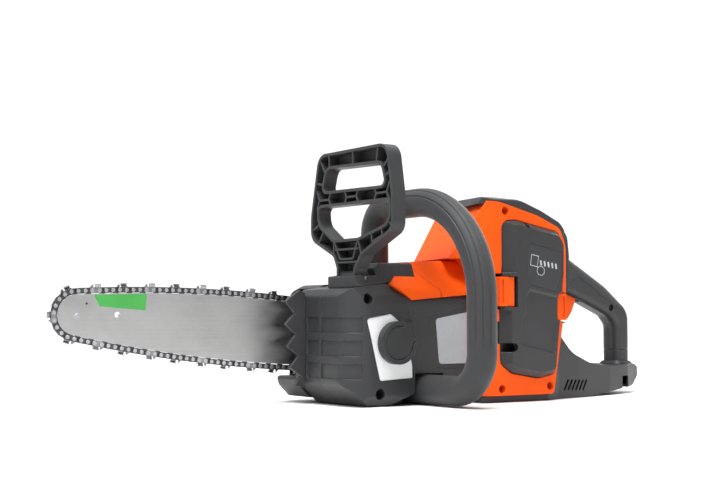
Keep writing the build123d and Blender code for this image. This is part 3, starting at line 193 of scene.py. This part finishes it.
def ground_steel(name, colour, rough, lines, depth, angle=(0, 0, 0), stain=0.25, metallic=1.0):
    """Metal with fine lines in one direction, mottled sheen and darker stains."""
    g = Graph(name)
    rounded = g.soft_edges(0.0003)
    brushed = g.noise(1.0, 6.0, 0.7, g.stretch(lines, angle))
    cloud = g.spread(g.noise(26.0, 5.0, 0.65), 0.3, 0.72)
    tone = g.mix(cloud, shade(colour, 0.86), shade(colour, 1.08))
    tone = g.mix(g.spread(brushed, 0.35, 0.7, 0.0, 0.35), tone, shade(colour, 1.16))
    tone = g.mix(g.spread(g.noise(75.0, 6.0, 0.7), 0.6, 0.78, 0.0, stain), tone, shade(colour, 0.45))
    normal = g.bump(brushed, depth, 0.00008, rounded)
    gloss = g.spread(g.noise(44.0, 5.0, 0.6, g.stretch((1.0, 1.0, 3.0))), 0.3, 0.7, rough - 0.06, rough + 0.1)
    return g.put(Base_Color=tone, Roughness=gloss, Normal=normal, Metallic=metallic).material


def powder_coated(name, colour):
    """Pebbled coating on steel, chipped to bare metal in places along its edges."""
    g = Graph(name)
    rounded = g.soft_edges(0.0006)
    tone = g.mix(g.spread(g.noise(25.0, 4.0), 0.3, 0.7), shade(colour, 0.85), shade(colour, 1.2))
    patches = g.spread(g.noise(260.0, 5.0, 0.7), 0.48, 0.6, 0.0, 0.7)
    tone = g.mix(g.times(g.edges(rounded, 0.9, 0.99), patches), tone, (0.3, 0.3, 0.31))
    normal = g.bump(g.grain(1500.0), 0.3, 0.00012, rounded)
    return g.put(Base_Color=tone, Roughness=0.5, Normal=normal, Specular_IOR_Level=0.5,
                 Metallic=0.25).material


def milky(name, colour):
    """Natural polyethylene: pale, slightly translucent, with a satin skin."""
    g = Graph(name)
    tone = g.mix(g.spread(g.noise(20.0, 4.0), 0.3, 0.7), shade(colour, 0.95), shade(colour, 1.04))
    tone = g.mix(g.spread(g.noise(90.0, 5.0, 0.7), 0.62, 0.8, 0.0, 0.1), tone, (0.72, 0.7, 0.62))
    normal = g.bump(g.noise(1400.0, 2.0), 0.2, 0.0001, g.soft_edges(0.0006))
    g.put(Base_Color=tone, Roughness=0.34, Normal=normal, Subsurface_Weight=0.2, Specular_IOR_Level=0.5)
    g.shader.inputs["Subsurface Scale"].default_value = 0.004
    return g.material


def film(name, colour, rough):
    """Printed plastic film or painted plate, smooth, with light handling marks."""
    g = Graph(name)
    tone = g.mix(g.spread(g.noise(30.0, 4.0), 0.3, 0.7), shade(colour, 0.94), shade(colour, 1.06))
    normal = g.bump(g.noise(700.0, 3.0), 0.08, 0.00008, g.soft_edges(0.0003))
    gloss = g.spread(g.noise(90.0, 6.0, 0.7), 0.35, 0.75, rough - 0.05, rough + 0.16)
    return g.put(Base_Color=tone, Roughness=gloss, Normal=normal, Specular_IOR_Level=0.5).material


CHARCOAL = (0.0245, 0.025, 0.0265)
ORANGE = (0.84, 0.088, 0.003)
LEAF_GREEN = (0.05, 0.33, 0.06)

MATERIALS = {
    "body_plastic": moulded("charcoal_nylon", CHARCOAL, 0.46, edge=0.0012, wear=0.2),
    "orange_plastic": moulded("orange_nylon", ORANGE, 0.52, grain_size=2200.0, grain_depth=0.22,
                              edge=0.0014, wear=0.14, specular=0.14),
    "soft_grip": rubbery("soft_grip_rubber", (0.024, 0.0245, 0.026)),
    "guard_plastic": moulded("guard_nylon", shade(CHARCOAL, 1.15), 0.5, grain_size=2300.0, edge=0.0005),
    "bar_steel": ground_steel("ground_bar_steel", (0.46, 0.46, 0.458), 0.33, (5.0, 40.0, 700.0), 0.1,
                              angle=(0, 0.08, 0), stain=0.1),
    "chain_steel": ground_steel("oiled_chain_steel", (0.1, 0.1, 0.107), 0.34, (300.0, 300.0, 300.0), 0.3),
    "cutter_steel": ground_steel("cutter_chrome", (0.3, 0.3, 0.31), 0.26, (200.0, 700.0, 200.0), 0.2),
    "spike_steel": powder_coated("powder_coated_steel", (0.045, 0.045, 0.048)),
    "plain_steel": ground_steel("bright_steel", (0.5, 0.5, 0.51), 0.3, (250.0, 250.0, 250.0), 0.2),
    "screw_steel": ground_steel("black_zinc", (0.06, 0.06, 0.065), 0.38, (400.0, 400.0, 400.0), 0.3),
    "copper": ground_steel("enamelled_copper", (0.66, 0.3, 0.14), 0.34, (500.0, 30.0, 500.0), 0.5),
    "cast_alloy": ground_steel("cast_alloy", (0.42, 0.43, 0.44), 0.5, (900.0, 900.0, 900.0), 0.6),
    "tank_plastic": milky("milky_polyethylene", (0.84, 0.85, 0.85)),
    "label_silver": film("silver_plate", (0.38, 0.4, 0.42), 0.3),
    "display_plastic": film("display_film", (0.028, 0.0285, 0.031), 0.34),
    "light_plastic": film("light_window", (0.45, 0.46, 0.47), 0.3),
    "seal_rubber": rubbery("black_rubber", (0.012, 0.012, 0.012), 0.7),
    "cell_metal": ground_steel("cell_sleeve", (0.2, 0.3, 0.42), 0.4, (20.0, 400.0, 20.0), 0.3, metallic=0.3),
    "board_green": moulded("potted_board", (0.02, 0.11, 0.045), 0.4, grain_size=900.0),
}


def assign(piece, slot):
    piece.data.materials.clear()
    piece.data.materials.append(MATERIALS[slot])


for row in frame["record"]["subparts"]:
    assign(NODES[row["node"]], row["material_slot"])


# ---------------------------------------------------------------- modelled details
def build(name, points, faces, body, slot, material=None, smooth=False):
    """A new piece from points in drawing millimetres, riding on a CAD body; with slot None it has its
    own material."""
    mesh = bpy.data.meshes.new(name)
    mesh.from_pydata([tuple(M(*p)) for p in points], [], faces)
    mesh.update()
    if smooth:
        for polygon in mesh.polygons:
            polygon.use_smooth = True
    piece = bpy.data.objects.new(name, mesh)
    bpy.context.scene.collection.objects.link(piece)
    mesh.materials.append(material or MATERIALS[slot])
    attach(piece, body)
    return piece


def join(shapes):
    """Several (points, faces) pairs as one pair."""
    points, faces = [], []
    for some_points, some_faces in shapes:
        start = len(points)
        points += some_points
        faces += [tuple(start + index for index in face) for face in some_faces]
    return points, faces


def plate(outline, y0, y1):
    """Flat plate from an X-Z outline, between two Y planes; the outline runs anticlockwise in X-Z."""
    count = len(outline)
    points = [(x, y0, z) for x, z in outline] + [(x, y1, z) for x, z in outline]
    faces = [tuple(range(count)), tuple(reversed(range(count, 2 * count)))]
    faces += [(i, i + count, (i + 1) % count + count, (i + 1) % count) for i in range(count)]
    return points, faces


def frame_outline(outline, width, y0, y1):
    """Thin raised line that follows a closed outline, drawn towards its middle."""
    middle_x = sum(x for x, _ in outline) / len(outline)
    middle_z = sum(z for _, z in outline) / len(outline)
    inner = []
    for x, z in outline:
        reach = math.hypot(x - middle_x, z - middle_z)
        inner.append((x + (middle_x - x) * width / reach, z + (middle_z - z) * width / reach))
    count = len(outline)
    shapes = []
    for i in range(count):
        j = (i + 1) % count
        shapes.append(plate([outline[i], outline[j], inner[j], inner[i]], y0, y1))
    return join(shapes)


def turned_box(x, z, width, height, angle, corner=0.0):
    """Outline of a rectangle turned by angle degrees about (x, z), with its corners cut off by corner."""
    half_w, half_h = width / 2, height / 2
    if corner:
        raw = [(half_w, -half_h + corner), (half_w, half_h - corner), (half_w - corner, half_h),
               (-half_w + corner, half_h), (-half_w, half_h - corner), (-half_w, -half_h + corner),
               (-half_w + corner, -half_h), (half_w - corner, -half_h)]
    else:
        raw = [(half_w, -half_h), (half_w, half_h), (-half_w, half_h), (-half_w, -half_h)]
    turn = math.radians(angle)
    return [(x + a * math.cos(turn) - b * math.sin(turn), z + a * math.sin(turn) + b * math.cos(turn))
            for a, b in raw]


def disc(x, z, radius, sides):
    steps = [2 * math.pi * i / sides for i in range(sides)]
    return [(x + radius * math.cos(a), z + radius * math.sin(a)) for a in steps]


HANDLE_X = -12.0
HANDLE_CORNERS = ((-22.0, 14.5), (126.0, 14.5), (126.0, 188.0), (-38.0, 188.0), (-37.0, 114.0))     # Y, Z
HANDLE_BENDS = (36.0, 92.0, 26.0)     # radius of the middle line at each corner between the two ends
HANDLE_SKIN_R = 13.45
HANDLE_BORE_R = 9.05
STRAIGHT_STEPS = 14
LAST_STRAIGHT_STEPS = 12
BEND_STEP = 3.5     # length of one step round a bend
FEWEST_BEND_STEPS = 10


def handle_line():
    """(Y, Z, direction) along the front handle's middle line, from the body's foot to the hood."""
    stations = []

    def run(start, end, steps):
        heading = math.atan2(end[1] - start[1], end[0] - start[0])
        for i in range(steps):
            t = i / steps
            stations.append((start[0] + (end[0] - start[0]) * t, start[1] + (end[1] - start[1]) * t, heading))

    last = HANDLE_CORNERS[0]
    for before, corner, after, radius in zip(HANDLE_CORNERS, HANDLE_CORNERS[1:], HANDLE_CORNERS[2:],
                                             HANDLE_BENDS):
        heading = math.atan2(corner[1] - before[1], corner[0] - before[0])
        turn = math.atan2(after[1] - corner[1], after[0] - corner[0]) - heading
        turn = (turn + math.pi) % (2 * math.pi) - math.pi
        reach = radius * math.tan(abs(turn) / 2)
        start = (corner[0] - reach * math.cos(heading), corner[1] - reach * math.sin(heading))
        run(last, start, STRAIGHT_STEPS)
        side = math.copysign(1, turn)
        centre = (start[0] - side * radius * math.sin(heading), start[1] + side * radius * math.cos(heading))
        steps = max(FEWEST_BEND_STEPS, int(radius * abs(turn) / BEND_STEP))
        for i in range(steps):
            angle = heading + turn * i / steps
            y = centre[0] + side * radius * math.sin(angle)
            stations.append((y, centre[1] - side * radius * math.cos(angle), angle))
        final = heading + turn
        last = (centre[0] + side * radius * math.sin(final), centre[1] - side * radius * math.cos(final))
    run(last, HANDLE_CORNERS[-1], LAST_STRAIGHT_STEPS)
    heading = stations[-1][2]
    stations.append((*HANDLE_CORNERS[-1], heading))
    return stations


SKIN_STEP = 5.0     # degrees between the skin's plain points
GROOVE_ANGLES = (5.0, 35.0, 65.0)
GROOVE_CLEARANCE = 4.0     # degrees on each side of a groove without plain points
GROOVE_SECTION = ((-3.6, 0.0), (-2.3, 0.9), (0.0, 1.0), (2.3, 0.9), (3.6, 0.0))     # degrees, share of depth
GROOVE_DEPTH = 0.75
GROOVE_START = 168.0     # along the middle line
GROOVE_END = 430.0
GROOVE_FADE = 12.0


def ring(station, profile):
    """Points round the handle's middle line, from (angle, radius) pairs; 0 degrees faces outwards."""
    y, z, heading = station
    out_y, out_z = math.sin(heading), -math.cos(heading)
    points = []
    for angle, radius in profile:
        turn = math.radians(angle)
        side, out = radius * math.sin(turn), radius * math.cos(turn)
        points.append((HANDLE_X + side, y + out_y * out, z + out_z * out))
    return points


def bridge(first, second, count):
    """Faces between two rings of points, given by where each one starts."""
    return [(first + i, first + (i + 1) % count, second + (i + 1) % count, second + i) for i in range(count)]


def grooved_grip():
    """Front handle's soft skin with three grooves along its outer side, and a flat ring at each end."""
    plain = [SKIN_STEP * i for i in range(int(360 / SKIN_STEP))]
    cuts = [(angle, 0.0) for angle in plain
            if all(abs(angle - groove) > GROOVE_CLEARANCE for groove in GROOVE_ANGLES)]
    for groove in GROOVE_ANGLES:
        cuts += [(groove + offset, depth) for offset, depth in GROOVE_SECTION]
    cuts.sort()
    count = len(cuts)
    stations = handle_line()
    points, travelled, before = [], 0.0, stations[0]
    for station in stations:
        travelled += math.hypot(station[0] - before[0], station[1] - before[1])
        before = station
        fade = min(1.0, max(0.0, (travelled - GROOVE_START) / GROOVE_FADE),
                   max(0.0, (GROOVE_END - travelled) / GROOVE_FADE))
        profile = [(angle, HANDLE_SKIN_R - GROOVE_DEPTH * depth * fade) for angle, depth in cuts]
        points += ring(station, profile)
    for station in (stations[0], stations[-1]):
        points += ring(station, [(angle, HANDLE_BORE_R) for angle, _ in cuts])
    faces = []
    for index in range(len(stations) - 1):
        faces += bridge(index * count, (index + 1) * count, count)
    end = len(stations)
    faces += bridge(end * count, 0, count)
    faces += bridge((end - 1) * count, (end + 1) * count, count)
    grip = build("front_handle_skin", points, faces, "housing", "soft_grip", smooth=True)
    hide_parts("front_handle_grip")


# Each pair of Y planes runs from just under the face that carries the mark to just proud of it.
BAR_MARK_Y = (-43.22, -43.08)
DISPLAY_Y = (72.78, 72.9)
FLANK_Y = (49.9, 50.4)
TAB_Y = (58.55, 59.0)
DISPLAY_TILT = 10     # degrees
SQUARE_LINE = 0.9     # widths of the symbols' lines
THIN_LINE = 0.7
DROP_X, DROP_Z = 10.7, 85.0
LINK_X, LINK_Z = 12.5, 78.2     # middle of the first link
LINK_STEP = 3.6
CAP_X, CAP_Z = 28.0, 57.5
TAB_TURN = math.radians(38.0)     # the tab's own direction on the cap
DOT_ROWS = 3
DOT_COLUMNS = 3
DOT_R = 0.9
DOT_SIDES = 12
FIRST_ROW = 9.0     # along the tab, from the cap's middle
ROW_STEP = 3.6
COLUMN_STEP = 4.6


def bar_mark():
    """Plain green trapezoid near the bar's nose, where the real bar has a word."""
    outline = [(229.5, 101.3), (230.4, 86.6), (273.2, 89.9), (278.7, 99.8)]
    green = film("leaf_green_mark", LEAF_GREEN, 0.35)
    build("bar_mark", *plate(outline, *BAR_MARK_Y), "housing", None, green)


def display_symbols():
    """Plain rectangle and eight-sided ring on the battery's display."""
    square = turned_box(-122.2, 135.0, width=9.4, height=11.0, angle=DISPLAY_TILT)
    octagon = turned_box(-130.2, 125.4, width=9.6, height=8.8, angle=DISPLAY_TILT, corner=2.4)
    lines = [frame_outline(square, SQUARE_LINE, *DISPLAY_Y), frame_outline(octagon, THIN_LINE, *DISPLAY_Y)]
    build("display_symbols", *join(lines), "battery", "light_plastic")


def filler_symbols():
    """Raised oil drop and chain links above the filler."""
    shape = ((0.3, 3.2), (-1.2, 0.8), (-1.7, -0.8), (-1.0, -2.2), (0.2, -2.6), (1.3, -2.0), (1.7, -0.4))
    symbols = [plate([(DROP_X + a, DROP_Z + b) for a, b in shape], *FLANK_Y)]
    for index in range(2):
        link = turned_box(LINK_X - LINK_STEP * index, LINK_Z, width=4.2, height=3.4, angle=6, corner=1.1)
        symbols.append(frame_outline(link, THIN_LINE, *FLANK_Y))
    build("filler_symbols", *join(symbols), "housing", "body_plastic")


def tab_dots():
    """Raised dots on the oil cap's folding tab, in rows across it."""
    dots = []
    for row in range(DOT_ROWS):
        for column in range(DOT_COLUMNS):
            along = FIRST_ROW + ROW_STEP * row
            across = COLUMN_STEP * (column - (DOT_COLUMNS - 1) / 2)
            x = CAP_X - along * math.cos(TAB_TURN) + across * math.sin(TAB_TURN)
            z = CAP_Z + along * math.sin(TAB_TURN) + across * math.cos(TAB_TURN)
            dots.append(plate(disc(x, z, DOT_R, DOT_SIDES), *TAB_Y))
    build("tab_dots", *join(dots), "cap_tab", "body_plastic")


grooved_grip()
bar_mark()
display_symbols()
filler_symbols()
tab_dots()


# ---------------------------------------------------------------- studio
# The photograph's camera: its place in drawing millimetres, and the way it looks.
EYE = (722.9, 1006.9, 80.0)
LOOK_X, LOOK_Y = -0.566, -0.824     # level part of its direction
PITCH = math.radians(3.43)     # upwards
LENS = 65.0
SENSOR_WIDTH = 36.0

WALL_LIGHT = 0.37
BACKDROP_LIGHT = 1.1
WALL_ENDS = 0.3     # as the cosine of the angle from the camera's level direction
BACKDROP_STARTS = 0.85
KEY_DIRECTION = (-0.5, -0.3, -0.95)
KEY_SPREAD = math.radians(38.0)
FLOOR_REACH = 30.0     # from the middle to each side
FLOOR_DROP = 0.0002     # keeps the floor from sharing the foot's plane


def area_light(name, place, target, size, energy):
    data = bpy.data.lights.new(name, "AREA")
    data.shape = "RECTANGLE"
    data.size, data.size_y = size
    data.energy = energy
    light = bpy.data.objects.new(name, data)
    bpy.context.scene.collection.objects.link(light)
    light.location = place
    light.rotation_euler = (Vector(target) - Vector(place)).to_track_quat("-Z", "Y").to_euler()


def key_light():
    data = bpy.data.lights.new("key", "SUN")
    data.energy = 2.8
    data.angle = KEY_SPREAD
    light = bpy.data.objects.new("key", data)
    bpy.context.scene.collection.objects.link(light)
    light.rotation_euler = Vector(KEY_DIRECTION).to_track_quat("-Z", "Y").to_euler()


def studio_world():
    """White backdrop behind the saw, dimmer studio walls elsewhere."""
    world = bpy.data.worlds.new("studio")
    bpy.context.scene.world = world
    world.use_nodes = True
    tree = world.node_tree
    background = tree.nodes["Background"]
    direction = tree.nodes.new("ShaderNodeTexCoord")
    facing = tree.nodes.new("ShaderNodeVectorMath")
    facing.operation = "DOT_PRODUCT"
    tree.links.new(direction.outputs["Generated"], facing.inputs[0])
    facing.inputs[1].default_value = (LOOK_X, LOOK_Y, 0.0)
    strength = tree.nodes.new("ShaderNodeMapRange")
    strength.interpolation_type = "SMOOTHSTEP"
    limits = {"From Min": WALL_ENDS, "From Max": BACKDROP_STARTS,
              "To Min": WALL_LIGHT, "To Max": BACKDROP_LIGHT}
    for key, number in limits.items():
        strength.inputs[key].default_value = number
    tree.links.new(facing.outputs["Value"], strength.inputs["Value"])
    tree.links.new(strength.outputs["Result"], background.inputs["Strength"])
    background.inputs["Color"].default_value = (1.0, 1.0, 1.0, 1.0)


def pale_floor():
    """White ground under the saw; it isn't part of the object."""
    corners = [(-FLOOR_REACH, -FLOOR_REACH, 0), (FLOOR_REACH, -FLOOR_REACH, 0),
               (FLOOR_REACH, FLOOR_REACH, 0), (-FLOOR_REACH, FLOOR_REACH, 0)]
    mesh = bpy.data.meshes.new("floor")
    mesh.from_pydata(corners, [], [(0, 1, 2, 3)])
    floor = bpy.data.objects.new("floor", mesh)
    bpy.context.scene.collection.objects.link(floor)
    floor.location.z = -FLOOR_DROP
    g = Graph("pale_floor")
    tone = g.mix(g.spread(g.noise(1.5, 3.0), 0.3, 0.7), (0.93, 0.93, 0.93), (0.95, 0.95, 0.95))
    mesh.materials.append(g.put(Base_Color=tone, Roughness=0.6, Specular_IOR_Level=0.2).material)


def studio():
    studio_world()
    key_light()
    area_light("top_softbox", place=(0.3, 0.25, 1.5), target=(0.1, 0, 0.1), size=(1.0, 0.6), energy=24.0)
    area_light("rim_softbox", place=(-1.2, -0.6, 0.9), target=(-0.1, 0, 0.12), size=(0.5, 0.9), energy=8.0)
    pale_floor()
    bpy.context.scene.view_settings.view_transform = "Standard"


def camera():
    data = bpy.data.cameras.new("camera")
    data.lens = LENS
    data.sensor_width = SENSOR_WIDTH
    eye = bpy.data.objects.new("camera", data)
    bpy.context.scene.collection.objects.link(eye)
    eye.location = M(*EYE)
    ahead = Vector((LOOK_X * math.cos(PITCH), LOOK_Y * math.cos(PITCH), math.sin(PITCH)))
    eye.rotation_euler = ahead.to_track_quat("-Z", "Y").to_euler()
    bpy.context.scene.camera = eye


studio()
camera()
